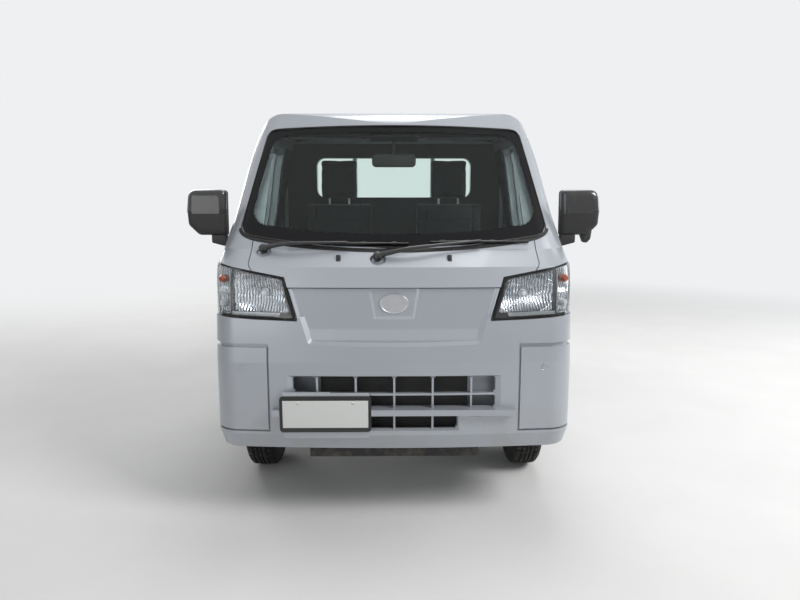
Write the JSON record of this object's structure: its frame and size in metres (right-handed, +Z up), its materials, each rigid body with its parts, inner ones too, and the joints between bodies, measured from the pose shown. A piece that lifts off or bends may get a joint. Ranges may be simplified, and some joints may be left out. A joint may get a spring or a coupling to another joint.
{
  "type": "kei truck",
  "caption": "Small cab-over pickup truck with a two-seat cab, a ladder frame and a flat load bed with fold-down sides, on steel wheels.",
  "frame": {"origin": "bottom centre of the bounding box: on the ground, midway along the length and on the truck's centre plane", "axes": "+X is the truck's left, +Y runs to its rear, +Z is up"},
  "size_m": [1.7876, 3.395, 1.7764],
  "materials": {
    "silver_paint": "satin",
    "black_steel": "satin",
    "bare_steel": "satin",
    "wheel_steel": "satin",
    "tyre": "matt",
    "glass": "gloss",
    "lamp": "gloss",
    "red_lamp": "gloss",
    "black_plastic": "matt",
    "grey_plastic": "matt",
    "seat_cloth": "matt",
    "plate": "satin",
    "engine_metal": "matt",
    "aluminium": "satin"
  },
  "bodies": {
    "truck": {"chassis_frame": "black_steel", "cab_floor": "silver_paint", "cab_back": "silver_paint", "roof": "silver_paint", "body_sides": "silver_paint", "front_wings": "silver_paint", "hood": "silver_paint", "front_panel": "silver_paint", "bumper": "silver_paint", "number_plates": "plate", "headlamps": "lamp", "fixed_glass": "glass", "wipers": "black_plastic", "dashboard": "grey_plastic", "seats": "seat_cloth", "cabin_fittings": "grey_plastic", "radiator": "aluminium", "engine_and_gearbox": "engine_metal", "rear_axle": "black_steel", "front_suspension": "black_steel", "fuel_tank": "black_steel", "exhaust": "bare_steel", "bed_floor": "silver_paint", "headboard": "silver_paint", "tail_lamps": "red_lamp"},
    "left_door": {"door_left": "silver_paint", "door_glass_left": "glass", "mirror_left": "black_plastic"},
    "right_door": {"door_right": "silver_paint", "door_glass_right": "glass", "mirror_right": "black_plastic"},
    "handwheel": {"steering_wheel": "black_plastic"},
    "left_knuckle": {"knuckle_left": "engine_metal"},
    "right_knuckle": {"knuckle_right": "engine_metal"},
    "front_left_wheel": {"rim_front_left": "wheel_steel", "tyre_front_left": "tyre"},
    "front_right_wheel": {"rim_front_right": "wheel_steel", "tyre_front_right": "tyre"},
    "rear_left_wheel": {"rim_rear_left": "wheel_steel", "tyre_rear_left": "tyre"},
    "rear_right_wheel": {"rim_rear_right": "wheel_steel", "tyre_rear_right": "tyre"},
    "left_gate": {"gate_left": "silver_paint"},
    "right_gate": {"gate_right": "silver_paint"},
    "rear_gate": {"tailgate": "silver_paint"}
  },
  "joints": [
    {"name": "steering_turn", "type": "hinge", "parent": "truck", "child": "handwheel", "pos_m": [-0.32, -1.1225, 1.035], "axis": [0, 0.6428, 0.766], "range_deg": [-600, 600]},
    {"name": "steer_left", "type": "hinge", "parent": "truck", "child": "left_knuckle", "pos_m": [0.59, -0.9975, 0.18], "axis": [-0.1504, 0, 0.9886], "range_deg": [-37.5, 37.5]},
    {"name": "steer_right", "type": "hinge", "parent": "truck", "child": "right_knuckle", "pos_m": [-0.59, -0.9975, 0.18], "axis": [0.1504, 0, 0.9886], "range_deg": [-37.5, 37.5]},
    {"name": "spin_front_left", "type": "hinge", "parent": "left_knuckle", "child": "front_left_wheel", "pos_m": [0.6525, -0.9975, 0.268], "axis": [1, 0, 0], "continuous": true},
    {"name": "spin_front_right", "type": "hinge", "parent": "right_knuckle", "child": "front_right_wheel", "pos_m": [-0.6525, -0.9975, 0.268], "axis": [1, 0, 0], "continuous": true},
    {"name": "spin_rear_left", "type": "hinge", "parent": "truck", "child": "rear_left_wheel", "pos_m": [0.65, 0.9025, 0.268], "axis": [1, 0, 0], "continuous": true},
    {"name": "spin_rear_right", "type": "hinge", "parent": "truck", "child": "rear_right_wheel", "pos_m": [-0.65, 0.9025, 0.268], "axis": [1, 0, 0], "continuous": true},
    {"name": "door_left_swing", "type": "hinge", "parent": "truck", "child": "left_door", "pos_m": [0.7335, -1.4525, 0.7], "axis": [0, 0, -1], "range_deg": [0, 68]},
    {"name": "door_right_swing", "type": "hinge", "parent": "truck", "child": "right_door", "pos_m": [-0.7335, -1.4525, 0.7], "axis": [0, 0, 1], "range_deg": [0, 68]},
    {"name": "gate_left_fold", "type": "hinge", "parent": "truck", "child": "left_gate", "pos_m": [0.7315, 0.6925, 0.641], "axis": [0, 1, 0], "range_deg": [0, 178]},
    {"name": "gate_right_fold", "type": "hinge", "parent": "truck", "child": "right_gate", "pos_m": [-0.7315, 0.6925, 0.641], "axis": [0, -1, 0], "range_deg": [0, 178]},
    {"name": "tailgate_fold", "type": "hinge", "parent": "truck", "child": "rear_gate", "pos_m": [0, 1.6925, 0.641], "axis": [-1, 0, 0], "range_deg": [0, 178]}
  ],
  "couplings": [
    {"joint": "steer_left", "follows": "steering_turn", "ratio": 0.0625},
    {"joint": "steer_right", "follows": "steering_turn", "ratio": 0.0625}
  ]
}
